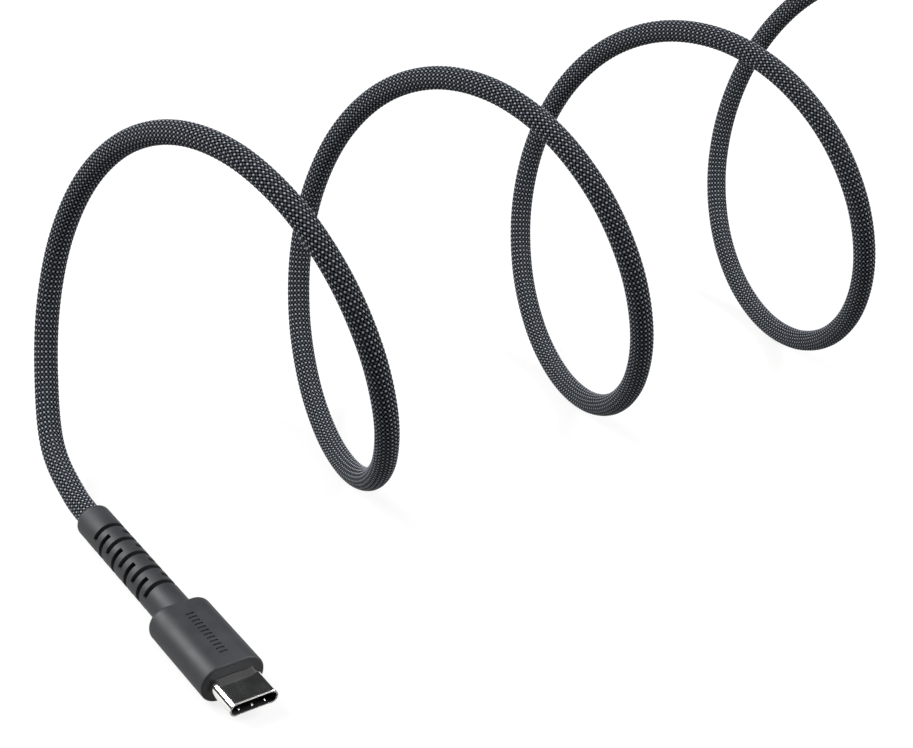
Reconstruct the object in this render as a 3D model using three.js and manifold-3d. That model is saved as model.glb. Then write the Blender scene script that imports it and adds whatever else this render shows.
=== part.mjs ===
// A braided charging cable with a small reversible plug at each end, millimetres, +Z up, standing on the plane z = 0.
// +X is the way the near plug is pushed in. The origin is under the middle of that plug.
// The cord leaves its boot as open loops that stand on the table like a lying spring,
// comes down into a small tied coil and ends in the far plug.
import * as THREE from 'three';
import { mergeVertices } from 'three/addons/utils/BufferGeometryUtils.js';
import Module from 'manifold-3d';

const wasm = await Module();
wasm.setup();

// Cord
const cordRadius = 2.05;
const cordSides = 8;
const cordStep = 10.5;

// Plug, along its own axis, which runs from just behind the boot to the tip in +X
const plugAxisHeight = 3.2;
const bootBack = 0.7;
const bootFront = 31;
const bootRadius = 3.05;
const bootRim = 0.35;
const bootBore = 2.25;
const bootNeckRadius = 2.55;
const bootNeckEnd = 31.7;
const slotPitch = 4.5;
const slotWidth = 0.95;
const topSlotHalfAngle = THREE.MathUtils.degToRad(73);
const sideSlotHalfAngle = THREE.MathUtils.degToRad(66);
const topSlotStart = 7.4;
const topSlots = 5;
const sideSlots = 4;
const fitGap = 0.05;
const gripBack = bootFront + 0.1;
const gripFront = 48.85;
const gripHalfWidth = 5.38;
const gripHalfHeight = 3.2;
const gripCorner = 3.1;
const gripBevel = 0.7;
const gripWall = 1.85;
const plugTip = 55.2;
const shellBack = 43;
const shellHalfWidth = 4.125;
const shellHalfHeight = 1.2;
const shellWall = 0.28;
const housingBack = 43.6;
const housingFront = 53.9;
const tongueBack = 48.9;
const tongueHalfWidth = 3.35;
const tongueHalfHeight = 0.62;
const pinPitch = 0.5;
const pinWidth = 0.27;
const pinThickness = 0.14;
const latchPivot = 45.6;
const latchInner = 3.34;
const latchThickness = 0.18;
const latchHalfHeight = 0.28;
const boardBack = 36.5;
const boardFront = 42.9;
const boardHalfWidth = 3.3;
const boardHalfThickness = 0.3;
const canBack = 36;
const canFront = 42.8;
const mouldBack = 33.6;
const mouldFront = 46.8;
const wireRadius = 0.42;
const cordStart = 29.6;
const plugMiddle = plugTip / 2;

// Loops: a helix round an axis along +Y, each turn's lowest point on the table
const loopCentreX = -0.4 - plugMiddle;
const loopStartY = -3.4;
const loopRadius = 32.4;
const loopRadiusGain = 0.57;
const loopPitch = 51.1;
const loopPitchGain = 0.89;
const loopFirstTurn = 0.09;
const loopLastTurn = 3.5;
const loopPointsPerTurn = 16;
const lastRiseGain = 2.2;

// Coil of what is left, and the far plug beside it
const coilCentre = new THREE.Vector2(-15, 245);
const coilRadius = 22.5;
const coilTurns = 1.5;
const coilLift = 1.2;
const coilLayer = 2 * cordRadius + 0.1;
const coilLanding = 1.5;
const tieTurn = 0.27;
const tieWidth = 9;
const tieThickness = 0.9;
const tieGap = 0.3;
const farYaw = THREE.MathUtils.degToRad(-12);
const farBootEnd = new THREE.Vector3(4.5, 266.4, plugAxisHeight);

const alongX = new THREE.Matrix4().set(0, 0, 1, 0, 1, 0, 0, 0, 0, 1, 0, 0, 0, 0, 0, 1);
const sideways = new THREE.Matrix4().set(1, 0, 0, 0, 0, 0, -1, 0, 0, 1, 0, 0, 0, 0, 0, 1);

const steel = { color: 0xc9cbce, roughness: 0.16, metalness: 1 };
const gold = { color: 0xd8b25a, roughness: 0.3, metalness: 1 };
const softGrip = { color: 0x4a4b4f, roughness: 0.55, metalness: 0 };
const blackResin = { color: 0x111113, roughness: 0.5, metalness: 0 };
const clearMould = { color: 0xd9d6cc, roughness: 0.45, metalness: 0 };
const boardGreen = { color: 0x1f5a3a, roughness: 0.4, metalness: 0 };
const braid = { color: 0x1b1c20, roughness: 0.8, metalness: 0 };
const strap = { color: 0x202124, roughness: 0.9, metalness: 0 };
const wireColours = { power: 0xb3262b, ground: 0x1a1a1a, sense: 0x2c5aa8, data_plus: 0x2f8a4a, data_minus: 0xe8e8e6 };

function solid(geometry) {
  const bare = new THREE.BufferGeometry();
  bare.setAttribute('position', geometry.getAttribute('position').clone());
  if (geometry.index) bare.setIndex(geometry.index.clone());
  const merged = mergeVertices(bare, 1e-5);
  return new wasm.Manifold(new wasm.Mesh({
    numProp: 3,
    vertProperties: new Float32Array(merged.getAttribute('position').array),
    triVerts: new Uint32Array(merged.index.array),
  }));
}

function geometryOf(body) {
  const mesh = body.getMesh();
  const geometry = new THREE.BufferGeometry();
  geometry.setAttribute('position', new THREE.BufferAttribute(new Float32Array(mesh.vertProperties), 3));
  geometry.setIndex(new THREE.BufferAttribute(new Uint32Array(mesh.triVerts), 1));
  return geometry;
}

function cut(body, ...tools) {
  return tools.reduce((left, tool) => left.subtract(tool), body);
}

function join(body, ...more) {
  return more.reduce((whole, part) => whole.add(part), body);
}

function piece(name, body, finish) {
  const geometry = body.isBufferGeometry ? body : geometryOf(body);
  const mesh = new THREE.Mesh(geometry, new THREE.MeshStandardMaterial(finish));
  mesh.name = name;
  return mesh;
}

// A rounded rectangle in the plane across the plug, x to the side and y up
function roundedSection(halfWidth, halfHeight, corner) {
  const r = Math.min(corner, halfWidth, halfHeight);
  const w = halfWidth - r;
  const h = halfHeight - r;
  const shape = new THREE.Shape();
  shape.absarc(w, h, r, 0, Math.PI / 2, false);
  shape.absarc(-w, h, r, Math.PI / 2, Math.PI, false);
  shape.absarc(-w, -h, r, Math.PI, 1.5 * Math.PI, false);
  shape.absarc(w, -h, r, 1.5 * Math.PI, 2 * Math.PI, false);
  return shape;
}

// A section carried along the plug from one station to another
function bar(section, from, to, curveSegments = 5) {
  const geometry = new THREE.ExtrudeGeometry(section, { depth: to - from, bevelEnabled: false, curveSegments });
  geometry.applyMatrix4(alongX);
  geometry.translate(from, 0, 0);
  return solid(geometry);
}

function block(from, to, halfWidth, low, high, middle = 0) {
  const geometry = new THREE.BoxGeometry(to - from, 2 * halfWidth, high - low);
  geometry.translate((from + to) / 2, middle, (low + high) / 2);
  return solid(geometry);
}

function turned(profile, sides = 18) {
  const geometry = new THREE.LatheGeometry(profile.map(([x, r]) => new THREE.Vector2(r, x)), sides);
  geometry.rotateZ(-Math.PI / 2);
  return solid(geometry);
}

function shell() {
  const inner = [shellHalfWidth - shellWall, shellHalfHeight - shellWall];
  const outside = bar(roundedSection(shellHalfWidth, shellHalfHeight, shellHalfHeight), shellBack, plugTip);
  const inside = bar(roundedSection(...inner, inner[1]), shellBack - 1, plugTip + 1);
  return cut(outside, inside);
}

function contactHousing() {
  const body = bar(roundedSection(3.78, 0.76, 0.7), housingBack, housingFront, 4);
  const tongueSpace = block(tongueBack, plugTip, tongueHalfWidth, -tongueHalfHeight, tongueHalfHeight);
  const upperSlit = block(housingBack - 1, tongueBack + 0.1, 2.98, 0.42, tongueHalfHeight);
  const lowerSlit = block(housingBack - 1, tongueBack + 0.1, 2.98, -tongueHalfHeight, -0.42);
  const pockets = [-1, 1].map((side) => block(45, plugTip, 0.4, -0.4, 0.4, side * 3.6));
  return cut(body, tongueSpace, upperSlit, lowerSlit, ...pockets);
}

function groundSpring(side) {
  const plate = block(49.5, 54.2, 2.6, 0.8, 0.9);
  const tabs = [-2.2, 0, 2.2].map((y) => block(54.05, 54.2, 0.28, 0.45, 0.85, y));
  const upper = join(plate, ...tabs);
  return side > 0 ? upper : upper.rotate([180, 0, 0]);
}

function latch(side) {
  const outline = new THREE.Shape();
  outline.moveTo(latchPivot - 0.4, latchInner);
  outline.lineTo(52, latchInner);
  outline.lineTo(52.6, 3.02);
  outline.lineTo(52.9, 3.02);
  outline.lineTo(53.5, latchInner);
  outline.lineTo(53.5, latchInner + latchThickness);
  outline.lineTo(latchPivot - 0.4, latchInner + latchThickness);
  outline.closePath();
  const geometry = new THREE.ExtrudeGeometry(outline, { depth: 2 * latchHalfHeight, bevelEnabled: false });
  geometry.translate(0, 0, -latchHalfHeight);
  const left = solid(geometry);
  return side > 0 ? left : left.rotate([180, 0, 0]);
}

// A contact strip: a tail on the board, a straight run through the housing, and a sprung bump
function contact(row, position) {
  const z = 0.45;
  const t = pinThickness;
  const outline = new THREE.Shape();
  outline.moveTo(41.6, z);
  outline.lineTo(49.4, z);
  outline.lineTo(52.3, 0.36);
  outline.lineTo(53.5, 0.44);
  outline.lineTo(53.5, 0.44 + t);
  outline.lineTo(52.3, 0.36 + t);
  outline.lineTo(49.4, z + t);
  outline.lineTo(41.6, z + t);
  outline.closePath();
  const geometry = new THREE.ExtrudeGeometry(outline, { depth: pinWidth, bevelEnabled: false });
  geometry.applyMatrix4(sideways);
  geometry.translate(0, pinWidth / 2, 0);
  const strip = solid(geometry);
  const placed = row > 0 ? strip : strip.rotate([180, 0, 0]);
  return placed.translate([0, position * pinPitch, 0]);
}

function shieldCan() {
  const outside = bar(roundedSection(4.25, 1.8, 0.9), canBack, canFront, 4);
  return cut(outside, bar(roundedSection(4.08, 1.63, 0.75), canBack - 1, canFront + 1, 4));
}

function innerMould() {
  const body = bar(roundedSection(4.8, 2.4, 2), mouldBack, mouldFront, 4);
  const canSpace = bar(roundedSection(4.25 + fitGap, 1.8 + fitGap, 0.9), canBack - 0.2, canFront + 0.1, 4);
  const shellSpace = bar(roundedSection(shellHalfWidth + fitGap, shellHalfHeight + fitGap, 1.25), canFront, 47);
  const wireSpace = turned([[mouldBack - 1, 0], [mouldBack - 1, 1.9], [canBack, 1.9], [canBack, 0]], 16);
  return cut(body, canSpace, shellSpace, wireSpace);
}

function grip() {
  const section = roundedSection(
    gripHalfWidth - gripBevel,
    gripHalfHeight - gripBevel,
    gripCorner - gripBevel,
  );
  const geometry = new THREE.ExtrudeGeometry(section, {
    depth: gripFront - gripBack - 2 * gripBevel,
    bevelSize: gripBevel,
    bevelThickness: gripBevel,
    bevelSegments: 2,
    curveSegments: 5,
  });
  geometry.applyMatrix4(alongX);
  geometry.translate(gripBack + gripBevel, 0, 0);
  const space = bar(roundedSection(4.95, 2.6, 2.2), gripBack + 0.9, gripFront - gripWall, 4);
  const shellHole = bar(roundedSection(shellHalfWidth + fitGap, shellHalfHeight + fitGap, 1.25), 46, gripFront + 1);
  const bootHole = turned([[gripBack - 1, 0], [gripBack - 1, 2.6], [gripBack + 1, 2.6], [gripBack + 1, 0]]);
  return cut(solid(geometry), space, shellHole, bootHole);
}

// One slot of the boot: a sector of a ring, centred on the given direction
function bootSlot(station, direction, halfAngle) {
  const shape = new THREE.Shape();
  shape.absarc(0, 0, 4, direction - halfAngle, direction + halfAngle, false);
  shape.absarc(0, 0, 1.5, direction + halfAngle, direction - halfAngle, true);
  return bar(shape, station - slotWidth / 2, station + slotWidth / 2, 2);
}

function boot() {
  const body = turned([
    [bootBack, bootBore],
    [bootBack, bootRadius - bootRim],
    [bootBack + bootRim, bootRadius],
    [bootFront, bootRadius],
    [bootFront, bootNeckRadius],
    [bootNeckEnd, bootNeckRadius],
    [bootNeckEnd, bootBore],
    [bootBack, bootBore],
  ]);
  const slots = [];
  for (let i = 0; i < topSlots; i += 1) {
    const station = topSlotStart + i * slotPitch;
    for (const way of [Math.PI / 2, -Math.PI / 2]) slots.push(bootSlot(station, way, topSlotHalfAngle));
  }
  for (let i = 0; i < sideSlots; i += 1) {
    const station = topSlotStart + (i + 0.5) * slotPitch;
    for (const way of [0, Math.PI]) slots.push(bootSlot(station, way, sideSlotHalfAngle));
  }
  return cut(body, ...slots);
}

function ferrule() {
  return turned([[31.9, 1.95], [31.9, 2.35], [33.2, 2.35], [33.2, 1.95], [31.9, 1.95]], 14);
}

function tube(curve, radius, sides, steps) {
  const section = new THREE.Shape();
  for (let i = 0; i < sides; i += 1) {
    const a = (i / sides) * 2 * Math.PI;
    if (i === 0) section.moveTo(radius, 0);
    else section.lineTo(radius * Math.cos(a), radius * Math.sin(a));
  }
  section.closePath();
  return new THREE.ExtrudeGeometry(section, { steps, extrudePath: curve, bevelEnabled: false });
}

// A conductor from its place in the cord's end to its pad on the board
function wire(start, end) {
  const path = new THREE.CatmullRomCurve3([
    new THREE.Vector3(29.9, start[0], start[1]),
    new THREE.Vector3(33.4, start[0], start[1]),
    new THREE.Vector3(36.4, (start[0] + end[0]) / 2, (start[1] + end[1]) / 2),
    new THREE.Vector3(38.4, end[0], end[1]),
    new THREE.Vector3(39.6, end[0], end[1]),
  ], false, 'centripetal');
  return tube(path, wireRadius, 6, 8);
}

// Every piece of one plug, in the plug's own frame. The name starts with the end it is on.
function plug(end) {
  const group = new THREE.Group();
  const add = (name, body, finish) => group.add(piece(`${end}_${name}`, body, finish));
  add('plug_shell', shell(), steel);
  add('contact_housing', contactHousing(), blackResin);
  add('upper_ground_spring', groundSpring(1), steel);
  add('lower_ground_spring', groundSpring(-1), steel);
  add('left_latch', latch(1), steel);
  add('right_latch', latch(-1), steel);
  const upperRow = { a1: -5.5, a4: -2.5, a5: -1.5, a6: -0.5, a7: 0.5, a9: 2.5, a12: 5.5 };
  const lowerRow = { b12: -5.5, b9: -2.5, b4: 2.5, b1: 5.5 };
  for (const [pin, position] of Object.entries(upperRow)) add(`contact_${pin}`, contact(1, position), gold);
  for (const [pin, position] of Object.entries(lowerRow)) add(`contact_${pin}`, contact(-1, position), gold);
  add('circuit_board', block(boardBack, boardFront, boardHalfWidth, -boardHalfThickness, boardHalfThickness), boardGreen);
  add('shield_can', shieldCan(), steel);
  add('inner_mould', innerMould(), clearMould);
  add('grip', grip(), softGrip);
  add('strain_relief_boot', boot(), softGrip);
  add('crimp_ferrule', ferrule(), steel);
  const wires = {
    power: [[-0.95, 0.55], [-2.2, 0.78]],
    ground: [[0.95, 0.55], [2.2, 0.78]],
    sense: [[0, 1.1], [0, 0.78]],
    data_plus: [[-0.65, -0.9], [-0.9, -0.78]],
    data_minus: [[0.65, -0.9], [0.9, -0.78]],
  };
  for (const [use, [start, finish]] of Object.entries(wires)) {
    add(`${use}_wire`, wire(start, finish), { color: wireColours[use], roughness: 0.5, metalness: 0 });
  }
  return group;
}

// A point of the standing loops, by the number of turns since the boot
function loopPoint(turn) {
  const angle = 2 * Math.PI * turn;
  const rise = lastRiseGain * THREE.MathUtils.smoothstep(turn, 3.2, loopLastTurn);
  const radius = loopRadius + loopRadiusGain * turn + rise;
  return new THREE.Vector3(
    loopCentreX - radius * Math.sin(angle),
    loopStartY + loopPitch * turn + loopPitchGain * turn * turn,
    cordRadius + radius * (1 - Math.cos(angle)),
  );
}

// A point of the coil, which winds clockwise and goes from its upper layer to its lower one
function coilPoint(turn) {
  const angle = 2 * Math.PI * turn;
  const layer = coilLayer * (1 - THREE.MathUtils.smoothstep(turn, 0.52, 0.72));
  const landing = coilLanding * (1 - THREE.MathUtils.smoothstep(turn, 0, 0.18));
  return new THREE.Vector3(
    coilCentre.x - coilRadius * Math.sin(angle),
    coilCentre.y - coilRadius * Math.cos(angle),
    coilLift + cordRadius + layer + landing,
  );
}

function looseRoute() {
  const points = [
    new THREE.Vector3(cordStart - plugMiddle, 0, plugAxisHeight),
    new THREE.Vector3(-9, 0, plugAxisHeight),
    new THREE.Vector3(-18.5, 0, plugAxisHeight),
    new THREE.Vector3(-plugMiddle, 0, plugAxisHeight),
    new THREE.Vector3(-34.5, 0.1, 3.8),
  ];
  const steps = Math.round((loopLastTurn - loopFirstTurn) * loopPointsPerTurn);
  for (let i = 0; i <= steps; i += 1) {
    points.push(loopPoint(loopFirstTurn + (i / steps) * (loopLastTurn - loopFirstTurn)));
  }
  points.push(
    new THREE.Vector3(-15.5, 192.1, 73.6),
    new THREE.Vector3(-4, 197.4, 67.6),
    new THREE.Vector3(4.4, 202.8, 58.2),
    new THREE.Vector3(8.8, 208, 46.8),
    new THREE.Vector3(8.9, 212.6, 34.6),
    new THREE.Vector3(4.8, 216.6, 23.8),
    new THREE.Vector3(-1.4, 219.7, 16.6),
    new THREE.Vector3(-8.2, 221.8, 11.6),
    coilPoint(0),
  );
  return points;
}

function tailRoute() {
  const onPlug = (distance) => new THREE.Vector3(distance, 0, 0)
    .applyAxisAngle(new THREE.Vector3(0, 0, 1), farYaw)
    .add(farBootEnd);
  return [
    coilPoint(coilTurns),
    new THREE.Vector3(-9, 267.5, plugAxisHeight),
    new THREE.Vector3(-2.5, 267.3, plugAxisHeight),
    ...[0, 9, 19, cordStart].map(onPlug),
  ];
}

function cordCurve(points) {
  const curve = new THREE.CatmullRomCurve3(points, false, 'centripetal');
  curve.arcLengthDivisions = 2000;
  return curve;
}

function cordTube(name, points) {
  const curve = cordCurve(points);
  return piece(name, tube(curve, cordRadius, cordSides, Math.round(curve.getLength() / cordStep)), braid);
}

// The room that a stretch of cord takes up beside the coil, with the gap to it
function roomFor(points) {
  const curve = cordCurve(points);
  return solid(tube(curve, cordRadius + 0.3, cordSides, Math.round(curve.getLength() / 4)));
}

function coil() {
  const low = coilLift;
  const high = coilLift + 2 * cordRadius + coilLayer + 0.1;
  const inner = coilRadius - cordRadius - 0.05;
  const outer = coilRadius + cordRadius + 0.05;
  const profile = [[inner, low], [outer, low], [outer, high], [inner, high], [inner, low]];
  const geometry = new THREE.LatheGeometry(profile.map(([r, z]) => new THREE.Vector2(r, z)), 32);
  geometry.rotateX(Math.PI / 2);
  geometry.translate(coilCentre.x, coilCentre.y, 0);
  const before = coilPoint(0).add(new THREE.Vector3(-0.5, 0, 0));
  const after = coilPoint(coilTurns).add(new THREE.Vector3(-0.5, 0, 0));
  return cut(
    solid(geometry),
    roomFor([...looseRoute().slice(-4, -1), before]),
    roomFor([after, ...tailRoute().slice(1, 4)]),
  );
}

// A strap round both layers of the coil, as wide across as the coil bends inside it
function tie() {
  const bendRoom = 0.55;
  const inner = coilRadius - cordRadius - bendRoom - tieGap;
  const outer = coilRadius + cordRadius + tieGap;
  const low = tieThickness;
  const high = coilLift + 2 * cordRadius + coilLayer + tieGap;
  const loop = (grow) => {
    const shape = roundedSection((outer - inner) / 2 + grow, (high - low) / 2 + grow, 0.8 + grow);
    const geometry = new THREE.ExtrudeGeometry(shape, { depth: tieWidth, bevelEnabled: false, curveSegments: 4 });
    geometry.applyMatrix4(alongX);
    geometry.translate(-tieWidth / 2, (inner + outer) / 2, (low + high) / 2);
    return solid(geometry);
  };
  const taller = loop(0).scale([1.4, 1, 1]);
  const angle = 180 - 360 * tieTurn;
  return cut(loop(tieThickness), taller).rotate([0, 0, angle]).translate([coilCentre.x, coilCentre.y, 0]);
}

const cable = new THREE.Group();
const nearPlug = plug('near');
nearPlug.position.set(-plugMiddle, 0, plugAxisHeight);
const farPlug = plug('far');
farPlug.position.copy(farBootEnd);
farPlug.rotation.z = farYaw;
cable.add(nearPlug, farPlug);
cable.add(cordTube('cord_loops', looseRoute()));
cable.add(cordTube('cord_tail', tailRoute()));
cable.add(piece('cord_coil', coil(), braid));
cable.add(piece('coil_tie', tie(), strap));

export default cable;
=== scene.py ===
# A braided charging cable with a small reversible plug at each end: its meshes, finishes, light and camera.
import math

import bmesh
import bpy
import numpy as np
from mathutils import Matrix, Vector


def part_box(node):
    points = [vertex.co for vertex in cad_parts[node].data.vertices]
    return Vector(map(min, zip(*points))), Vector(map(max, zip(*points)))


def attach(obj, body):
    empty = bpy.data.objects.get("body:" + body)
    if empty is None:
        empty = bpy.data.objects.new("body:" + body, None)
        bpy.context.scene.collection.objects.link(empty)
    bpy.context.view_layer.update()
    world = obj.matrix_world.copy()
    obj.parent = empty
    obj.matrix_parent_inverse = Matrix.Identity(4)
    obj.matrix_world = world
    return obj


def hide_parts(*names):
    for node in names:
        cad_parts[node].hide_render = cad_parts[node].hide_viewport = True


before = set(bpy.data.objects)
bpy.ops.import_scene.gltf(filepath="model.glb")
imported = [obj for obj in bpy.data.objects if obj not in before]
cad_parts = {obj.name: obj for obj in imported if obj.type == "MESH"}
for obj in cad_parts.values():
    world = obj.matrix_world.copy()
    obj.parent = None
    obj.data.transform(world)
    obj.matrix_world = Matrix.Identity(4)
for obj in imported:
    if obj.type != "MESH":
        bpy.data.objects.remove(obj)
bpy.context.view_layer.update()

mm = 0.001
print("frame loaded:", len(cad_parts), "nodes")


# The camera looks down on the near plug from its tip end, with the loops going away behind it.
view = {
    "place": (206.72, -106.04, 179.17),  # mm
    "heading": -37.683,  # degrees round +Z, from +X to where the camera stands
    "dip": 29.57,
    "lean": 4.942,
    "lens": 71.09,  # mm, on a sensor 36 mm wide
}


def towards(heading, rise):
    # the direction that lies on that heading and that far above level
    return Vector((math.cos(rise) * math.cos(heading), math.cos(rise) * math.sin(heading), math.sin(rise)))


def addCamera():
    back = towards(math.radians(view["heading"]), math.radians(view["dip"]))
    right = Vector((0, 0, 1)).cross(back).normalized()
    turn = Matrix((right, back.cross(right), back)).transposed().to_4x4()
    bpy.ops.object.camera_add()
    camera = bpy.context.object
    camera.name = "camera"
    camera.data.sensor_width = 36
    camera.data.lens = view["lens"]
    camera.data.clip_start = 0.01
    place = Matrix.Translation(Vector(view["place"]) * mm)
    camera.matrix_world = place @ turn @ Matrix.Rotation(math.radians(view["lean"]), 4, "Z")
    bpy.context.scene.camera = camera


addCamera()
bpy.context.scene.view_settings.view_transform = "Standard"
print("camera placed")


def linear(hexColour):
    parts = [int(hexColour[i:i + 2], 16) / 255 for i in (1, 3, 5)]
    return tuple(c / 12.92 if c <= 0.04045 else ((c + 0.055) / 1.055) ** 2.4 for c in parts) + (1,)


def addNode(tree, kind, settings=None, **links):
    # settings are input values or node properties; links are input name = output socket
    node = tree.nodes.new("ShaderNode" + kind)
    for key, value in (settings or {}).items():
        if isinstance(key, int) or key in node.inputs:
            node.inputs[key].default_value = value
        else:
            setattr(node, key, value)
    for key, socket in links.items():
        name = int(key[1:]) if key[0] == "i" and key[1:].isdigit() else key.replace("_", " ")
        tree.links.new(socket, node.inputs[name])
    return node


def startMaterial(name, **values):
    material = bpy.data.materials.new(name)
    material.use_nodes = True
    shader = material.node_tree.nodes["Principled BSDF"]
    for key, value in values.items():
        shader.inputs[key.replace("_", " ")].default_value = value
    return material, material.node_tree, shader


def ramp(tree, factor, stops):
    node = addNode(tree, "ValToRGB", Fac=factor)
    elements = node.color_ramp.elements
    while len(elements) < len(stops):
        elements.new(0.5)
    for element, (place, hexColour) in zip(elements, stops):
        element.position = place
        element.color = linear(hexColour)
    return node.outputs["Color"]


def objectPoint(tree):
    return addNode(tree, "TexCoord").outputs["Object"]


def grain(tree, shader, sizeMm, depthMm, detail=2.0, strength=1.0):
    # a moulded or fibrous grain of that feature size
    noise = addNode(tree, "TexNoise", {"Scale": 1 / (sizeMm * mm), "Detail": detail, "Roughness": 0.6},
                    Vector=objectPoint(tree))
    bump = addNode(tree, "Bump", {"Strength": strength, "Distance": depthMm * mm},
                   Height=noise.outputs["Fac"])
    tree.links.new(bump.outputs["Normal"], shader.inputs["Normal"])
    return noise.outputs["Fac"]


def softGripTpe():
    # satin moulded TPE: an even charcoal with a fine spark-eroded grain and a slightly uneven shine
    material, tree, shader = startMaterial("satinMouldedTpe", IOR=1.5, Specular_IOR_Level=0.2)
    fine = grain(tree, shader, 0.09, 0.012, detail=3.0, strength=0.5)
    broad = addNode(tree, "TexNoise", {"Scale": 1 / (4.5 * mm), "Detail": 3.0}, Vector=objectPoint(tree))
    mixed = addNode(tree, "Math", {"operation": "MULTIPLY_ADD", 1: 0.35}, i0=fine, i2=broad.outputs["Fac"])
    colour = ramp(tree, mixed.outputs[0], [(0.4, "#1a1b1d"), (0.95, "#202123")])
    tree.links.new(colour, shader.inputs["Base Color"])
    rough = addNode(tree, "MapRange", {"From Min": 0.3, "From Max": 0.7, "To Min": 0.5, "To Max": 0.6},
                    Value=broad.outputs["Fac"])
    tree.links.new(rough.outputs[0], shader.inputs["Roughness"])
    return material


def polishedShellSteel():
    # nickel-plated drawn stainless: a mirror with faint draw lines along the plug and handling haze
    material, tree, shader = startMaterial("nickelPlatedSteel", Metallic=1.0)
    stretch = addNode(tree, "Mapping", {"Scale": (60, 2600, 2600)}, Vector=objectPoint(tree))
    lines = addNode(tree, "TexNoise", {"Scale": 1.0, "Detail": 3.0}, Vector=stretch.outputs[0])
    haze = addNode(tree, "TexNoise", {"Scale": 1 / (2.5 * mm), "Detail": 4.0}, Vector=objectPoint(tree))
    rough = addNode(tree, "MapRange", {"From Min": 0.35, "From Max": 0.75, "To Min": 0.11, "To Max": 0.16},
                    Value=haze.outputs["Fac"])
    tree.links.new(rough.outputs[0], shader.inputs["Roughness"])
    colour = ramp(tree, haze.outputs["Fac"], [(0.3, "#d9d8d5"), (0.7, "#e6e6e4")])
    tree.links.new(colour, shader.inputs["Base Color"])
    bump = addNode(tree, "Bump", {"Strength": 0.12, "Distance": 0.004 * mm}, Height=lines.outputs["Fac"])
    tree.links.new(bump.outputs["Normal"], shader.inputs["Normal"])
    return material


def stampedSteel():
    # stamped spring steel: rolled lines and a duller shine than the shell
    material, tree, shader = startMaterial("stampedSpringSteel", Metallic=1.0)
    stretch = addNode(tree, "Mapping", {"Scale": (150, 4000, 4000)}, Vector=objectPoint(tree))
    lines = addNode(tree, "TexNoise", {"Scale": 1.0, "Detail": 2.0}, Vector=stretch.outputs[0])
    colour = ramp(tree, lines.outputs["Fac"], [(0.3, "#b5b6b8"), (0.7, "#cfd0d1")])
    tree.links.new(colour, shader.inputs["Base Color"])
    rough = addNode(tree, "MapRange", {"To Min": 0.22, "To Max": 0.4}, Value=lines.outputs["Fac"])
    tree.links.new(rough.outputs[0], shader.inputs["Roughness"])
    return material


def goldContact():
    # hard gold over nickel: warm, slightly mottled where the plating is thin
    material, tree, shader = startMaterial("hardGoldPlating", Metallic=1.0)
    mottled = addNode(tree, "TexNoise", {"Scale": 1 / (0.4 * mm), "Detail": 3.0}, Vector=objectPoint(tree))
    colour = ramp(tree, mottled.outputs["Fac"], [(0.35, "#d9b36a"), (0.65, "#f0cf85")])
    tree.links.new(colour, shader.inputs["Base Color"])
    rough = addNode(tree, "MapRange", {"To Min": 0.18, "To Max": 0.34}, Value=mottled.outputs["Fac"])
    tree.links.new(rough.outputs[0], shader.inputs["Roughness"])
    return material


def mottledFinish(name, dark, light, roughness):
    # a moulded, extruded or oxidised surface: a little mottling, and a faint grain 0.15 mm across
    material, tree, shader = startMaterial(name, IOR=1.52, Roughness=roughness)
    flow = grain(tree, shader, 0.15, 0.006, strength=0.4)
    tree.links.new(ramp(tree, flow, [(0.3, dark), (0.7, light)]), shader.inputs["Base Color"])
    return material


def solderMask():
    # green solder mask over copper: glossy, with the copper under it showing as a 1.6 mm pattern
    material, tree, shader = startMaterial("greenSolderMask", IOR=1.5, Roughness=0.28, Coat_Weight=0.5)
    point = objectPoint(tree)
    traces = addNode(tree, "TexBrick", {"Scale": 1 / (1.6 * mm), "Mortar Size": 0.06,
                                        "Color1": linear("#1d5c3b"), "Color2": linear("#174a30"),
                                        "Mortar": linear("#2f7d4e")}, Vector=point)
    tree.links.new(traces.outputs["Color"], shader.inputs["Base Color"])
    bump = addNode(tree, "Bump", {"Strength": 0.4, "Distance": 0.02 * mm}, Height=traces.outputs["Fac"])
    tree.links.new(bump.outputs["Normal"], shader.inputs["Normal"])
    return material


weave = {
    "ends": 18,  # yarns each way
    "period": 0.95,  # mm of cord from one crown of a yarn to its next
    "surface": 2.12,  # mm from the cord's middle to a crown
    "amplitude": 0.07, "width": 0.5, "dome": 0.12,  # mm
    "swell": 0.12,  # how much wider a yarn is on its crown, as a share
}
yarnLean = math.atan(2 * math.pi * weave["surface"] / weave["ends"] / weave["period"])  # to the cord's axis


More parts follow.
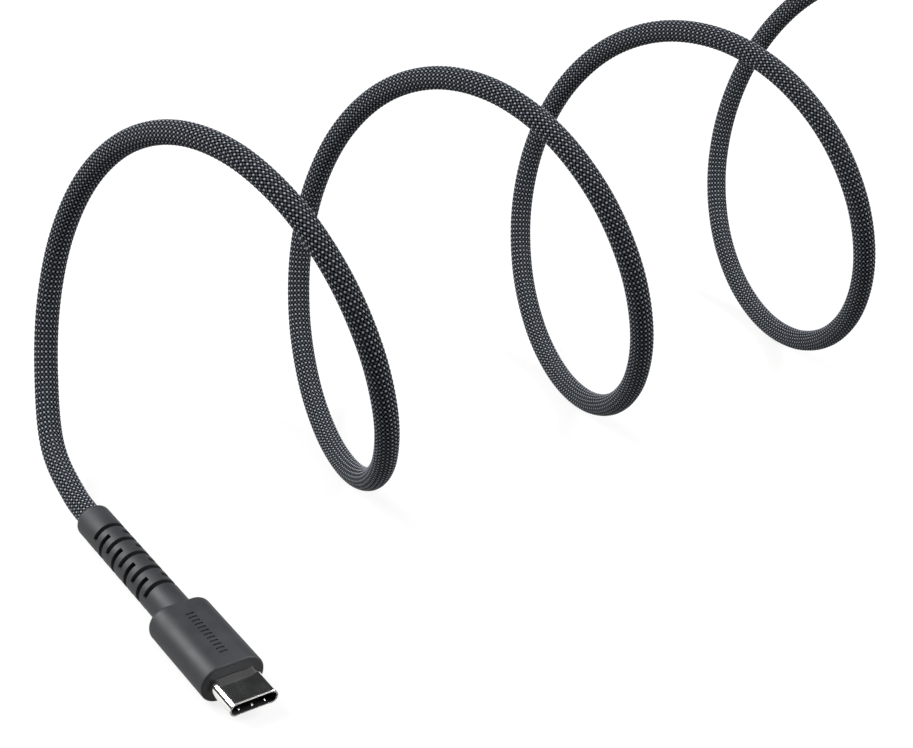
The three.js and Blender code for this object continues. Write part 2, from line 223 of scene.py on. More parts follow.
def braidYarn(name, hollow, middle, crown):
    # Polyester yarn of the jacket: each float's crown carries a round painted highlight, and where the yarn
    # dives under its neighbour it is painted nearly black as painted shade. The UV map runs across the yarn
    # and counts its crowns.
    material, tree, shader = startMaterial(name, IOR=1.53, Roughness=0.5, Specular_IOR_Level=0.03)
    yarn = addNode(tree, "UVMap", {"uv_map": "yarn"})
    parts = addNode(tree, "SeparateXYZ", Vector=yarn.outputs["UV"])
    across = addNode(tree, "Math", {"operation": "MULTIPLY_ADD", 1: weave["width"], 2: -weave["width"] / 2},
                     i0=parts.outputs["X"])
    fromCrown = addNode(tree, "Math", {"operation": "PINGPONG", 1: 0.5}, i0=parts.outputs["Y"])
    along = addNode(tree, "Math", {"operation": "MULTIPLY", 1: weave["period"] / math.cos(yarnLean)},
                    i0=fromCrown.outputs[0])
    spot = addNode(tree, "CombineXYZ", X=across.outputs[0], Y=along.outputs[0])
    reach = addNode(tree, "VectorMath", {"operation": "LENGTH"}, i0=spot.outputs[0])
    # painted highlight at the crown, fading to painted shade where the yarn dives under
    colour = ramp(tree, reach.outputs["Value"], [(0.06, crown), (0.25, middle), (0.37, hollow)])
    tree.links.new(colour, shader.inputs["Base Color"])
    # the filaments lie in five bundles across each yarn, 0.1 mm apart
    bundles = 5
    filaments = addNode(tree, "Math", {"operation": "MULTIPLY", 1: 2 * math.pi * bundles},
                        i0=parts.outputs["X"])
    ridges = addNode(tree, "Math", {"operation": "COSINE"}, i0=filaments.outputs[0])
    bump = addNode(tree, "Bump", {"Strength": 0.3, "Distance": 0.02 * mm}, Height=ridges.outputs[0])
    tree.links.new(bump.outputs["Normal"], shader.inputs["Normal"])
    return material


def cordJacket():
    # the extruded black jacket under the braid, seen only in the gaps between the yarns
    material, tree, shader = startMaterial("extrudedBlackJacket", IOR=1.5, Roughness=0.6)
    fleck = grain(tree, shader, 0.3, 0.01)
    tree.links.new(ramp(tree, fleck, [(0.3, "#050506"), (0.7, "#0b0b0d")]), shader.inputs["Base Color"])
    return material


def hookAndLoop():
    # woven strap with a tight pile of loops 0.28 mm apart and a nap of 0.12 mm on them
    material, tree, shader = startMaterial("wovenLoopStrap", IOR=1.5, Roughness=0.85, Sheen_Weight=0.1,
                                           Sheen_Roughness=0.5)
    point = objectPoint(tree)
    nap = addNode(tree, "TexNoise", {"Scale": 1 / (0.12 * mm), "Detail": 5.0, "Roughness": 0.75},
                  Vector=point)
    pile = addNode(tree, "TexVoronoi", {"Scale": 1 / (0.28 * mm)}, Vector=point)
    height = addNode(tree, "Math", {"operation": "MULTIPLY_ADD", 1: 0.4},
                     i0=pile.outputs["Distance"], i2=nap.outputs["Fac"])
    # the colour darkens where the pile lies lower, on the same height as the bump: painted shade between
    # the loops, with the nap's random tone on top
    colour = ramp(tree, height.outputs[0], [(0.35, "#08090a"), (0.9, "#1c1d20")])
    tree.links.new(colour, shader.inputs["Base Color"])
    bump = addNode(tree, "Bump", {"Strength": 0.9, "Distance": 0.06 * mm}, Height=height.outputs[0])
    tree.links.new(bump.outputs["Normal"], shader.inputs["Normal"])
    return material


tpe = softGripTpe()
shellSteel = polishedShellSteel()
springSteel = stampedSteel()
gold = goldContact()
blackLcp = mottledFinish("blackMouldedLcp", "#060607", "#0c0c0e", 0.38)
naturalResin = mottledFinish("naturalMouldedPolyethylene", "#c9c5b8", "#dcd9ce", 0.42)
# the inside of the shell is painted near black: painted shade inside the plug's mouth
shellInsideShade = mottledFinish("oxidisedShellInside", "#0b0b0c", "#131314", 0.5)
# The slots' walls are painted near black: painted shade in the deep slots, since they are the boot's own
# TPE. The floors get the same near black and stand for the cord's black jacket under the slots.
slotShade = mottledFinish("slotDeepTpe", "#08080a", "#0e0e10", 0.6)  # the walls and floors of the boot's slots
boardMask = solderMask()
# The yarns winding one way are painted lighter than those winding the other way. This is a painted
# highlight that favours one direction of yarn, on top of both ways' painted crown highlights and
# under-shade.
lightYarn = braidYarn("charcoalPolyesterYarn", "#020203", "#1e2125", "#787b80")
darkYarn = braidYarn("blackPolyesterYarn", "#020203", "#111418", "#383b40")
jacket = cordJacket()
strapCloth = hookAndLoop()
wireFinishes = {
    "power_wire": mottledFinish("redExtrudedPvc", "#a31f25", "#bb2a30", 0.4),
    "ground_wire": mottledFinish("blackExtrudedPvc", "#111112", "#1b1b1d", 0.4),
    "sense_wire": mottledFinish("blueExtrudedPvc", "#234f99", "#2e60b3", 0.4),
    "data_plus_wire": mottledFinish("greenExtrudedPvc", "#26804a", "#319157", 0.4),
    "data_minus_wire": mottledFinish("whiteExtrudedPvc", "#dededb", "#ededea", 0.4),
}
print("materials made:", len(bpy.data.materials))


plugMiddle = 27.6  # mm from a plug's station 0, just behind its boot, to the plug's middle
plugHeight = 3.2
cord = {
    "radius": 2.05,
    "start": 29.6,  # its end is at this station of each plug, inside the boot
    "bareEnds": 26.5,  # mm at each end have no yarns, deep in the boots
    "coreRadius": 1.82,
    "coreSides": 20,
    "coreStep": 2.2,
}
loops = {
    "centreX": -0.4 - plugMiddle, "startY": -3.4,
    "radius": 32.4, "radiusGain": 0.57,  # mm, and mm more for each turn
    "pitch": 51.1, "pitchGain": 0.89,
    "firstTurn": 0.09, "lastTurn": 3.5, "perTurn": 16,
    "rise": 2.2, "riseFrom": 3.2,  # the last loop widens by this much, from this turn on
}
coil = {
    "centre": (-15, 245), "radius": 22.5, "turns": 1.5, "perTurn": 16,
    "lift": 1.2,  # mm under the lower layer, where the tie passes
    "layer": 4.2, "landing": 1.5,
}
farYaw = math.radians(-12)
farBootEnd = Vector((4.5, 266.4, plugHeight))


def smooth(value, low, high):
    t = min(max((value - low) / (high - low), 0), 1)
    return t * t * (3 - 2 * t)


def loopPoint(turn):
    # the open loops stand on the table like a lying spring
    angle = 2 * math.pi * turn
    widening = loops["rise"] * smooth(turn, loops["riseFrom"], loops["lastTurn"])
    radius = loops["radius"] + loops["radiusGain"] * turn + widening
    return Vector((
        loops["centreX"] - radius * math.sin(angle),
        loops["startY"] + loops["pitch"] * turn + loops["pitchGain"] * turn * turn,
        cord["radius"] + radius * (1 - math.cos(angle)),
    ))


def coilPoint(turn):
    angle = 2 * math.pi * turn
    layer = coil["layer"] * (1 - smooth(turn, 0.52, 0.72))
    landing = coil["landing"] * (1 - smooth(turn, 0, 0.18))
    return Vector((
        coil["centre"][0] - coil["radius"] * math.sin(angle),
        coil["centre"][1] - coil["radius"] * math.cos(angle),
        coil["lift"] + cord["radius"] + layer + landing,
    ))


def onFarPlug(distance):
    return farBootEnd + Vector((math.cos(farYaw), math.sin(farYaw), 0)) * distance


def cordRoute():
    points = [Vector(p) for p in (
        (cord["start"] - plugMiddle, 0, plugHeight), (-9, 0, plugHeight), (-18.5, 0, plugHeight),
        (-plugMiddle, 0, plugHeight), (-34.5, 0.1, 3.8),
    )]
    span = loops["lastTurn"] - loops["firstTurn"]
    steps = round(span * loops["perTurn"])
    points += [loopPoint(loops["firstTurn"] + span * i / steps) for i in range(steps + 1)]
    points += [Vector(p) for p in (
        (-15.5, 192.1, 73.6), (-4, 197.4, 67.6), (4.4, 202.8, 58.2), (8.8, 208, 46.8),
        (8.9, 212.6, 34.6), (4.8, 216.6, 23.8), (-1.4, 219.7, 16.6), (-8.2, 221.8, 11.6),
    )]
    steps = round(coil["turns"] * coil["perTurn"])
    points += [coilPoint(coil["turns"] * i / steps) for i in range(steps + 1)]
    points += [Vector((-9, 267.5, plugHeight)), Vector((-2.5, 267.3, plugHeight))]
    points += [onFarPlug(d) for d in (0, 9, 19, cord["start"])]
    return points


def throughPoints(points, perSpan=16):
    # a centripetal Catmull-Rom curve through the points, as the frame's cord has
    p = np.array([tuple(q) for q in points])
    p = np.vstack([2 * p[0] - p[1], p, 2 * p[-1] - p[-2]])
    u = np.arange(perSpan)[:, None] / perSpan
    curve = []
    for a, b, c, d in zip(p[:-3], p[1:-2], p[2:-1], p[3:]):
        ab, bc, cd = (math.sqrt(np.linalg.norm(e)) for e in (b - a, c - b, d - c))
        start = ((b - a) / ab - (c - a) / (ab + bc) + (c - b) / bc) * bc
        end = ((c - b) / bc - (d - b) / (bc + cd) + (d - c) / cd) * bc
        square, cube = 3 * (c - b) - 2 * start - end, 2 * (b - c) + start + end
        curve.append(b + start * u + square * u ** 2 + cube * u ** 3)
    return np.vstack(curve + [p[-2:-1]])


def evenly(curve, spacing):
    # the same curve in equal steps, and its length
    lengths = np.concatenate([[0], np.cumsum(np.linalg.norm(np.diff(curve, axis=0), axis=1))])
    count = int(round(lengths[-1] / spacing))
    at = np.linspace(0, lengths[-1], count + 1)
    return np.stack([np.interp(at, lengths, curve[:, k]) for k in range(3)], axis=1), lengths[-1]


def carriedFrames(points):
    # a side and an up direction for each point, carried along without twisting
    tangents = np.gradient(points, axis=0)
    tangents /= np.linalg.norm(tangents, axis=1)[:, None]
    sides = np.zeros_like(points)
    side = np.cross(tangents[0], (0, 0, 1))
    for i, tangent in enumerate(tangents):
        side = side - tangent * np.dot(side, tangent)
        side /= np.linalg.norm(side)
        sides[i] = side
    return sides, np.cross(sides, tangents)


def meshPiece(name, vertices, faces, material):
    # vertices in millimetres
    mesh = bpy.data.meshes.new(name)
    mesh.vertices.add(len(vertices))
    mesh.vertices.foreach_set("co", (np.asarray(vertices, np.float32) * mm).ravel())
    corners = np.asarray(faces, np.int32)
    mesh.loops.add(corners.size)
    mesh.loops.foreach_set("vertex_index", corners.ravel())
    mesh.polygons.add(len(corners))
    mesh.polygons.foreach_set("loop_start", np.arange(len(corners), dtype=np.int32) * corners.shape[1])
    mesh.update(calc_edges=True)
    mesh.polygons.foreach_set("use_smooth", np.ones(len(corners), bool))
    mesh.materials.append(material)
    piece = bpy.data.objects.new(name, mesh)
    bpy.context.scene.collection.objects.link(piece)
    return piece


def closeEnds(piece):
    mesh = bmesh.new()
    mesh.from_mesh(piece.data)
    bmesh.ops.holes_fill(mesh, edges=[e for e in mesh.edges if e.is_boundary])
    bmesh.ops.recalc_face_normals(mesh, faces=mesh.faces)
    mesh.to_mesh(piece.data)
    mesh.free()


def makeCore(path):
    points, length = evenly(path, cord["coreStep"])
    sides, ups = carriedFrames(points)
    count = cord["coreSides"]
    angles = 2 * np.pi * np.arange(count) / count
    ring = sides[:, None] * np.cos(angles)[None, :, None] + ups[:, None] * np.sin(angles)[None, :, None]
    vertices = (points[:, None] + cord["coreRadius"] * ring).reshape(-1, 3)
    faces = []
    for i in range(len(points) - 1):
        for j in range(count):
            a, b = i * count + j, i * count + (j + 1) % count
            faces.append((a, b, b + count, a + count))
    core = meshPiece("cordCore", vertices, faces, jacket)
    closeEnds(core)
    return core, length, points


def makeYarns(path):
    # Eighteen yarns wind each way. One way is over at every whole period, the other at every half.
    quarter = weave["period"] / 4
    points = evenly(path, quarter)[0]
    sides, ups = carriedFrames(points)
    forward = np.cross(ups, sides)
    bare = int(cord["bareEnds"] / quarter)
    keep = slice(bare, len(points) - bare)
    along = np.arange(len(points))[keep] * quarter
    points, sides, ups, forward = points[keep], sides[keep], ups[keep], forward[keep]
    pieces = []
    for way, finish, title in ((1, lightYarn, "yarnRight"), (-1, darkYarn, "yarnLeft")):
        crowns = along / weave["period"] + (0 if way > 0 else 0.5)
        here, there = crowns[:-1], crowns[1:]
        for group, ends in enumerate(np.array_split(np.arange(weave["ends"]), 3)):
            vertices, faces, uvs = [], [], []
            for end in ends:
                offset = sum(len(strand) for strand in vertices)
                turn = 2 * np.pi * (end / weave["ends"] + way * along / (weave["period"] * weave["ends"]))
                lift = way * np.cos(2 * np.pi * along / weave["period"])
                width = weave["width"] * (1 + weave["swell"] * lift) / 2
                radius = weave["surface"] - weave["amplitude"] + weave["amplitude"] * lift
                rows = []
                for across, drop in ((-1, weave["dome"]), (0, 0), (1, weave["dome"])):
                    # the section is square to the yarn, which leans to one side of the cord
                    swing = turn + across * width * math.cos(yarnLean) / radius
                    shift = -way * across * width * math.sin(yarnLean)
                    out = sides * np.cos(swing)[:, None] + ups * np.sin(swing)[:, None]
                    rows.append(points + out * (radius - drop)[:, None] + forward * shift[:, None])
                vertices.append(np.stack(rows, axis=1).reshape(-1, 3))
                index = np.arange(len(points) - 1) * 3
                # two faces over the yarn's dome and one under it
                for a, b in ((0, 1), (1, 2), (2, 0)):
                    faces.append(np.stack([index + a, index + b, index + b + 3, index + a + 3], 1) + offset)
                    left, right = (np.full_like(here, k / 2 if b else 0) for k in (a, b))
                    uvs.append(np.stack([left, here, right, here, right, there, left, there], 1))
            piece = meshPiece(f"{title}{group + 1}", np.vstack(vertices), np.vstack(faces), finish)
            layer = piece.data.uv_layers.new(name="yarn")
            layer.data.foreach_set("uv", np.vstack(uvs).astype(np.float32).ravel())
            closeEnds(piece)
            pieces.append(piece)
    return pieces


route = throughPoints(cordRoute())
cordCore, cordLength, corePath = makeCore(route)
yarns = makeYarns(route)
for piece in [cordCore] + yarns:
    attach(piece, "root")
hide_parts("cord_loops", "cord_tail", "cord_coil")
print("cord laid:", round(cordLength), "mm")


# Each plug piece is modelled in millimetres along its own axis, then copied to the near and the far plug.
def alongPlug(node):
    # a near node's first and last station along the plug
    return [corner[0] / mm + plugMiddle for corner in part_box(node)]


def halfSize(node, k):
    low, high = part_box(node)
    return (high[k] - low[k]) / 2 / mm


plug = {
    "bootBack": alongPlug("near_strain_relief_boot")[0],
    "gripBack": alongPlug("near_grip")[0],
    "gripFront": alongPlug("near_grip")[1],
}


def choose(piece):
    bpy.ops.object.select_all(action="DESELECT")
    bpy.context.view_layer.objects.active = piece
    piece.select_set(True)


def editing(piece):
    choose(piece)
    bpy.ops.object.mode_set(mode="EDIT")


def doneEditing():
    bpy.ops.object.mode_set(mode="OBJECT")


def pick(kind, test):
    # selects the faces or edges of the mesh being edited that pass the test
    bpy.ops.mesh.select_all(action="DESELECT")
    bpy.ops.mesh.select_mode(type={"faces": "FACE", "edges": "EDGE"}[kind])
    data = bpy.context.object.data
    mesh = bmesh.from_edit_mesh(data)
    for item in getattr(mesh, kind):
        item.select_set(bool(test(item)))
    bmesh.update_edit_mesh(data)


def edgeAt(place, axis=0):
    return lambda edge: all(abs(v.co[axis] - place) < 1e-3 for v in edge.verts)


def runsAlong(axis):
    return lambda edge: abs((edge.verts[0].co - edge.verts[1].co).normalized()[axis]) > 0.99


def facing(way, station):
    # faces square to the plug's axis at that station, looking that way
    return lambda face: face.normal.x * way > 0.9 and abs(face.calc_center_median().x - station) < 1e-3


def push(x, y=0, z=0):
    # extrudes what is selected by that much
    bpy.ops.mesh.extrude_region_move(TRANSFORM_OT_translate={"value": (x, y, z)})


def stretchTo(halfWidth, halfHeight):
    # brings the selected outline, centred on the plug's axis, to that size
    data = bpy.context.object.data
    chosen = [v.co for v in bmesh.from_edit_mesh(data).verts if v.select]
    wide = max(abs(c.y) for c in chosen)
    high = max(abs(c.z) for c in chosen)
    bpy.ops.transform.resize(value=(1, halfWidth / wide, halfHeight / high), center_override=(0, 0, 0))


def startBox(name, start, stop, halfWidth, halfHeight):
    bpy.ops.object.select_all(action="DESELECT")
    bpy.ops.mesh.primitive_cube_add(size=1, location=((start + stop) / 2, 0, 0))
    piece = bpy.context.object
    piece.name = name
    piece.scale = (stop - start, 2 * halfWidth, 2 * halfHeight)
    bpy.ops.object.transform_apply(location=True, rotation=True, scale=True)
    return piece


def addModifier(piece, kind, **settings):
    # adds a modifier, sets it and applies it
    choose(piece)
    modifier = piece.modifiers.new(kind.lower(), kind)
    for key, value in settings.items():
        setattr(modifier, key, value)
    bpy.ops.object.modifier_apply(modifier=modifier.name)


def smoothed(piece, degrees=35):
    choose(piece)
    bpy.ops.object.shade_smooth_by_angle(angle=math.radians(degrees))
    addModifier(piece, "WEIGHTED_NORMAL", keep_sharp=True, weight=80)


gripShape = {
    "corner": 3.1, "cornerSteps": 14,
    "frontEdge": 0.4, "backEdge": 0.95,
    "wall": 1.85,
    "shellGap": 0.04,  # round the shell
    "cavity": (4.95, 2.6),  # half width and half height
    "backWall": 1,
}
strokes = {"count": 12, "pitch": 0.96, "width": 0.46, "length": 1.45, "depth": 0.16, "middle": 40.4}


def makeStrokes():
    # a plain row of short sunk strokes on the top of the grip
    width, count = strokes["width"], strokes["count"]
    cutters = []
    for i in range(count):
        station = strokes["middle"] + (i - (count - 1) / 2) * strokes["pitch"]
        stroke = startBox("stroke", station - width / 2, station + width / 2, strokes["length"] / 2,
                          strokes["depth"])
        stroke.data.transform(Matrix.Translation((0, 0, halfSize("near_grip", 2))))
        editing(stroke)
        pick("edges", runsAlong(2))
        bpy.ops.mesh.bevel(offset=width * 0.45, segments=4, affect="EDGES")
        doneEditing()
        cutters.append(stroke)
    choose(cutters[0])
    for cutter in cutters:
        cutter.select_set(True)
    bpy.ops.object.join()
    return cutters[0]


def makeGrip():
    back, front = plug["gripBack"], plug["gripFront"]
    halfWidth, halfHeight = halfSize("near_grip", 1), halfSize("near_grip", 2)
    piece = startBox("grip", back, front, halfWidth, halfHeight)
    editing(piece)
    pick("edges", runsAlong(0))
    bpy.ops.mesh.bevel(offset=gripShape["corner"], segments=gripShape["cornerSteps"], affect="EDGES")
    pick("edges", edgeAt(front))
    bpy.ops.mesh.bevel(offset=gripShape["frontEdge"], segments=5, affect="EDGES")
    pick("edges", edgeAt(back))
    bpy.ops.mesh.bevel(offset=gripShape["backEdge"], segments=6, affect="EDGES")
    pick("faces", facing(1, front))
    bpy.ops.mesh.inset(thickness=1.2)
    gap = gripShape["shellGap"]
    stretchTo(halfSize("near_plug_shell", 1) + gap, halfSize("near_plug_shell", 2) + gap)
    push(-gripShape["wall"])
    push(-0.05)  # a step, which is widened to the cavity
    stretchTo(*gripShape["cavity"])
    push(-(front - back - gripShape["wall"] - gripShape["backWall"]))
    bpy.ops.mesh.select_all(action="DESELECT")
    doneEditing()
    cutter = makeStrokes()
    addModifier(piece, "BOOLEAN", operation="DIFFERENCE", object=cutter, solver="EXACT")
    bpy.data.objects.remove(cutter)
    smoothed(piece)
    return piece, [tpe]


shellShape = {"wall": 0.28, "rim": 0.11, "steps": 14}


def makeShell():
    start, tip = alongPlug("near_plug_shell")
    halfWidth, halfHeight = halfSize("near_plug_shell", 1), halfSize("near_plug_shell", 2)
    piece = startBox("plugShell", start, tip, halfWidth, halfHeight)
    editing(piece)
    pick("edges", runsAlong(0))
    bpy.ops.mesh.bevel(offset=halfHeight * 0.995, segments=shellShape["steps"], affect="EDGES")
    pick("faces", lambda face: abs(face.normal.x) > 0.9)
    bpy.ops.mesh.inset(thickness=shellShape["wall"])
    bpy.ops.mesh.bridge_edge_loops()
    flat = halfWidth - halfHeight  # the outline is two half rounds joined by flats

    def fromMiddle(place):
        # how far a place is from the flat line that the outline is drawn round
        return math.hypot(max(abs(place.y) - flat, 0), place.z)

    wallMiddle = halfHeight - shellShape["wall"] / 2
    for inner in (False, True):
        def onRim(edge):
            middle = (edge.verts[0].co + edge.verts[1].co) / 2
            return edgeAt(tip)(edge) and (fromMiddle(middle) < wallMiddle) == inner

        pick("edges", onRim)
        bpy.ops.mesh.bevel(offset=shellShape["rim"], segments=3, affect="EDGES")
    doneEditing()
    # the inner faces of the shell take the near black finish: painted shade in the mouth
    for face in piece.data.polygons:
        if fromMiddle(face.center) < wallMiddle - 0.06 and abs(face.normal.x) < 0.3:
            face.material_index = 1
    smoothed(piece, 50)
    return piece, [shellSteel, shellInsideShade]


bootShape = {
    "sides": 120,
    "slotPitch": 4.5, "slotWidth": 0.95, "slotDepth": 0.8, "firstSlot": 7.4,
    "topSlots": 5, "topHalfAngle": 72, "sideHalfAngle": 66,  # degrees
    "mouth": 0.07,  # the softened edge of a slot
    "rim": 0.4, "bore": 2.25, "boreDepth": 3, "intoGrip": 0.7,
}


def slotSpans():
    # the station, the middle angle and the half angle of each slot of the boot
    spans = []
    for i in range(bootShape["topSlots"]):
        station = bootShape["firstSlot"] + i * bootShape["slotPitch"]
        spans += [(station, way, bootShape["topHalfAngle"]) for way in (90, -90)]
    for i in range(bootShape["topSlots"] - 1):
        station = bootShape["firstSlot"] + (i + 0.5) * bootShape["slotPitch"]
        spans += [(station, way, bootShape["sideHalfAngle"]) for way in (0, 180)]
    return spans


def makeBoot():
    radius = halfSize("near_strain_relief_boot", 2)
    back, front = plug["bootBack"], plug["gripBack"] + bootShape["intoGrip"]
    bpy.ops.object.select_all(action="DESELECT")
    bpy.ops.mesh.primitive_cylinder_add(vertices=bootShape["sides"], radius=radius, depth=front - back,
                                        location=((front + back) / 2, 0, 0), rotation=(0, math.pi / 2, 0))
    piece = bpy.context.object
    piece.name = "strainReliefBoot"
    bpy.ops.object.transform_apply(location=True, rotation=True, scale=True)
    editing(piece)
    spans = slotSpans()
    for station in sorted({span[0] for span in spans}):
        for side in (-1, 1):
            cut = station + side * bootShape["slotWidth"] / 2
            bpy.ops.mesh.select_all(action="SELECT")
            bpy.ops.mesh.bisect(plane_co=(cut, 0, 0), plane_no=(1, 0, 0))

    def inSlot(face):
        centre = face.calc_center_median()
        if abs(face.normal.x) > 0.5:
            return False
        angle = math.degrees(math.atan2(centre.z, centre.y))
        for station, way, half in spans:
            apart = abs((angle - way + 180) % 360 - 180)
            if abs(centre.x - station) < bootShape["slotWidth"] / 2 and apart < half:
                return True
        return False

    pick("faces", inSlot)
    bpy.ops.mesh.extrude_region_shrink_fatten(
        TRANSFORM_OT_shrink_fatten={"value": -bootShape["slotDepth"], "use_even_offset": False})

    def atMouth(edge):
        if any(abs(math.hypot(v.co.y, v.co.z) - radius) > 0.02 for v in edge.verts):
            return False
        deep = [math.hypot(*face.calc_center_median().yz) < radius - 0.1 for face in edge.link_faces]
        return any(deep) and not all(deep) and all(back + 0.1 < v.co.x < front - 0.1 for v in edge.verts)

    pick("edges", atMouth)
    bpy.ops.mesh.bevel(offset=bootShape["mouth"], segments=2, affect="EDGES")
    pick("edges", edgeAt(back))
    bpy.ops.mesh.bevel(offset=bootShape["rim"], segments=5, affect="EDGES")
    pick("faces", facing(-1, back))
    bpy.ops.mesh.inset(thickness=radius - bootShape["rim"] - bootShape["bore"])
    push(bootShape["boreDepth"])
    doneEditing()
    # the faces inside the slots and inside the cord's bore get the near black finish: painted shade
    for face in piece.data.polygons:
        if math.hypot(face.center.y, face.center.z) < radius - 0.12 and face.center.x > back + 0.5:
            face.material_index = 1
    smoothed(piece)
    return piece, [tpe, slotShade]


groundSpring = {
    "back": 49.5, "height": 0.85, "thickness": 0.1, "halfWidth": 2.6,
    "fingers": (-2.2, 0, 2.2), "fingersFrom": 53.5, "fingerWidth": 0.3, "fingerLength": 1.1,
    "dip": 0.24, "steps": 8,
}


def makeGroundSpring(way):
    # a sheet spring inside the shell with three fingers that dip towards the socket's tongue and come back
    root = groundSpring["fingersFrom"]
    piece = startBox("groundSpring", groundSpring["back"], root, groundSpring["halfWidth"],
                     groundSpring["thickness"] / 2)
    piece.data.transform(Matrix.Translation((0, 0, groundSpring["height"])))
    editing(piece)
    half = groundSpring["fingerWidth"] / 2
    for place in groundSpring["fingers"]:
        for side in (-1, 1):
            bpy.ops.mesh.select_all(action="SELECT")
            bpy.ops.mesh.bisect(plane_co=(0, place + side * half, 0), plane_no=(0, 1, 0))

    def fingerRoot(face):
        middle = face.calc_center_median()
        return facing(1, root)(face) and any(abs(middle.y - y) < half for y in groundSpring["fingers"])

    pick("faces", fingerRoot)
    steps = groundSpring["steps"]
    for i in range(steps):
        here, there = (-groundSpring["dip"] * math.sin(math.pi * (i + k) / steps) for k in (0, 1))
        push(groundSpring["fingerLength"] / steps, 0, there - here)
    bpy.ops.mesh.select_all(action="DESELECT")
    doneEditing()
    if way < 0:
        piece.data.transform(Matrix.Rotation(math.pi, 4, "X"))
    addModifier(piece, "BEVEL", width=0.02, segments=2, limit_method="ANGLE", angle_limit=math.radians(50))
    smoothed(piece, 50)
    return piece, [springSteel]


def placeCopies(maker, node):
    # puts the piece on both plugs in place of their CAD nodes, each copy with its own mesh
    model, finishes = maker()
    for material in finishes:
        model.data.materials.append(material)
    for end, place in (("near", nearPlace), ("far", farPlace)):
        piece = model.copy()
        piece.data = model.data.copy()
        piece.name = end + model.name[0].upper() + model.name[1:]
        bpy.context.scene.collection.objects.link(piece)
        piece.data.transform(Matrix.Scale(mm, 4) @ place)
        piece.matrix_world = Matrix.Identity(4)
        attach(piece, "root")
        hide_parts(f"{end}_{node}")
    bpy.data.objects.remove(model)
    print("made", node)


nearPlace = Matrix.Translation((-plugMiddle, 0, plugHeight))
farPlace = Matrix.Translation(farBootEnd) @ Matrix.Rotation(farYaw, 4, "Z")
placeCopies(makeGrip, "grip")
placeCopies(makeShell, "plug_shell")
placeCopies(makeBoot, "strain_relief_boot")
placeCopies(lambda: makeGroundSpring(1), "upper_ground_spring")
placeCopies(lambda: makeGroundSpring(-1), "lower_ground_spring")

# the pieces that keep their CAD mesh, by their names without near_ or far_
cadFinishes = {
    "contact_housing": blackLcp, "circuit_board": boardMask, "inner_mould": naturalResin,
    "left_latch": springSteel, "right_latch": springSteel,
    "shield_can": springSteel, "crimp_ferrule": springSteel,
    **wireFinishes,
}
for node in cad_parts:
    part = node.split("_", 1)[1]
    finish = cadFinishes.get(part, gold if part.startswith("contact_") else None)
    if finish:
        bpy.data.objects[node].material_slots[0].material = finish


# The tie is one strap that starts on top of the coil, goes all the way round and laps over itself.
tie = {
    "turn": 0.27,  # its place round the coil
    "width": 9, "thickness": 0.78, "edge": 0.22,
    "inner": 19.6, "outer": 24.85,  # mm from the coil's middle
    "low": 0.9, "high": 9.8, "middle": 0.45,
    "corner": 2.6, "cornerSteps": 9,
    "lap": 0.86, "tail": 4.2, "tailRound": 1.8,
}


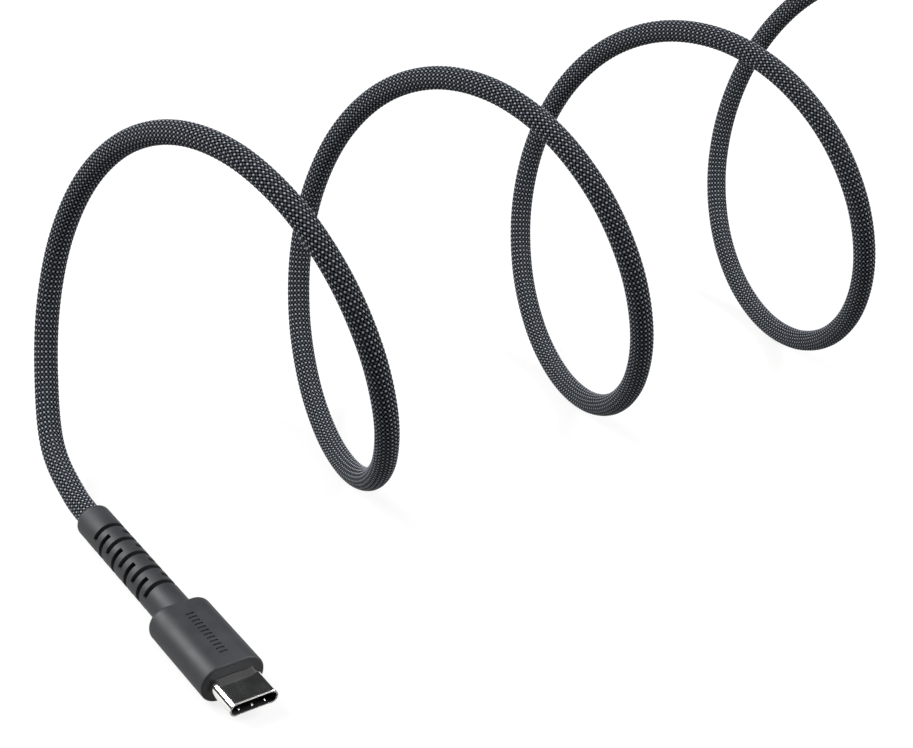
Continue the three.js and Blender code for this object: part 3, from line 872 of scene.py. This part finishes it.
def makeTie():
    halfDeep = (tie["outer"] - tie["inner"]) / 2 + tie["middle"]
    halfHigh = (tie["high"] - tie["low"]) / 2 + tie["middle"]
    corner, steps = tie["corner"], tie["cornerSteps"]
    stations = []
    for count, start in enumerate((90, 0, -90, -180, -270)):
        middle = math.radians(start - 45)
        across = math.copysign(halfDeep - corner, math.cos(middle))
        up = math.copysign(halfHigh - corner, math.sin(middle))
        for i in range(steps + 1):
            angle = math.radians(start - 90 * i / steps)
            reach = corner + tie["lap"] * min(max(count + i / steps - 3, 0), 1)
            stations.append(Vector((0, across + reach * math.cos(angle), up + reach * math.sin(angle))))
    stations.append(stations[-1] - Vector((0, 0, tie["tail"])))
    bpy.ops.object.select_all(action="DESELECT")
    bpy.ops.mesh.primitive_plane_add(size=1, location=(0, stations[0].y / 2, halfHigh))
    piece = bpy.context.object
    piece.name = "coilTie"
    piece.scale = (tie["width"], stations[0].y, 1)
    bpy.ops.object.transform_apply(location=True, rotation=True, scale=True)
    editing(piece)
    pick("edges", edgeAt(stations[0].y, 1))
    for here, there in zip(stations, stations[1:]):
        push(*(there - here))
    bpy.ops.mesh.bevel(offset=tie["tailRound"], segments=5, affect="VERTICES")
    doneEditing()
    addModifier(piece, "SOLIDIFY", thickness=tie["thickness"], offset=0)
    addModifier(piece, "BEVEL", width=tie["edge"], segments=3, limit_method="ANGLE",
                angle_limit=math.radians(50))
    smoothed(piece, 50)
    lift = Vector((0, (tie["inner"] + tie["outer"]) / 2, (tie["low"] + tie["high"]) / 2))
    turn = Matrix.Rotation(math.pi * (1 - 2 * tie["turn"]), 4, "Z")
    place = Matrix.Translation((*coil["centre"], 0)) @ turn @ Matrix.Translation(lift)
    piece.data.transform(Matrix.Scale(mm, 4) @ place)
    piece.data.materials.append(strapCloth)
    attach(piece, "root")
    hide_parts("coil_tie")
    print("made tie")
    return piece


coilTie = makeTie()


studio = {
    "middle": (-0.02, 0.1, 0.03),  # metres
    "floorColour": "#464645", "floorGlow": 0.82, "floorSize": 40,
    "room": "#37383a",
}
softboxes = {
    # turn from the camera's heading and height, in degrees; distance, width and height in metres; watts
    "left": (-90, 42, 0.9, 0.6, 0.5, 25.0),
    "right": (102, 41, 0.9, 0.5, 0.5, 21.0),
    "over": (150, 80, 0.9, 0.8, 0.8, 3.0),
}


def addStudio():
    bpy.ops.mesh.primitive_plane_add(size=studio["floorSize"], location=(0, 0.1, 0))
    floor = bpy.context.object
    floor.name = "floor"
    table = startMaterial("whiteShootingTable", Roughness=0.9, Base_Color=linear(studio["floorColour"]),
                          Emission_Color=linear("#ffffff"), Emission_Strength=studio["floorGlow"])
    floor.data.materials.append(table[0])
    world = bpy.data.worlds.new("room")
    world.use_nodes = True
    world.node_tree.nodes["Background"].inputs["Color"].default_value = linear(studio["room"])
    bpy.context.scene.world = world
    for name, (turn, lift, distance, width, height, watts) in softboxes.items():
        way = towards(math.radians(view["heading"] + turn), math.radians(lift))
        bpy.ops.object.light_add(type="AREA", location=Vector(studio["middle"]) + way * distance)
        lamp = bpy.context.object
        lamp.name = f"softbox_{name}"
        lamp.rotation_euler = way.to_track_quat("Z", "Y").to_euler()
        lamp.data.shape = "RECTANGLE"
        lamp.data.size = width
        lamp.data.size_y = height
        lamp.data.energy = watts


addStudio()
print("studio lit")
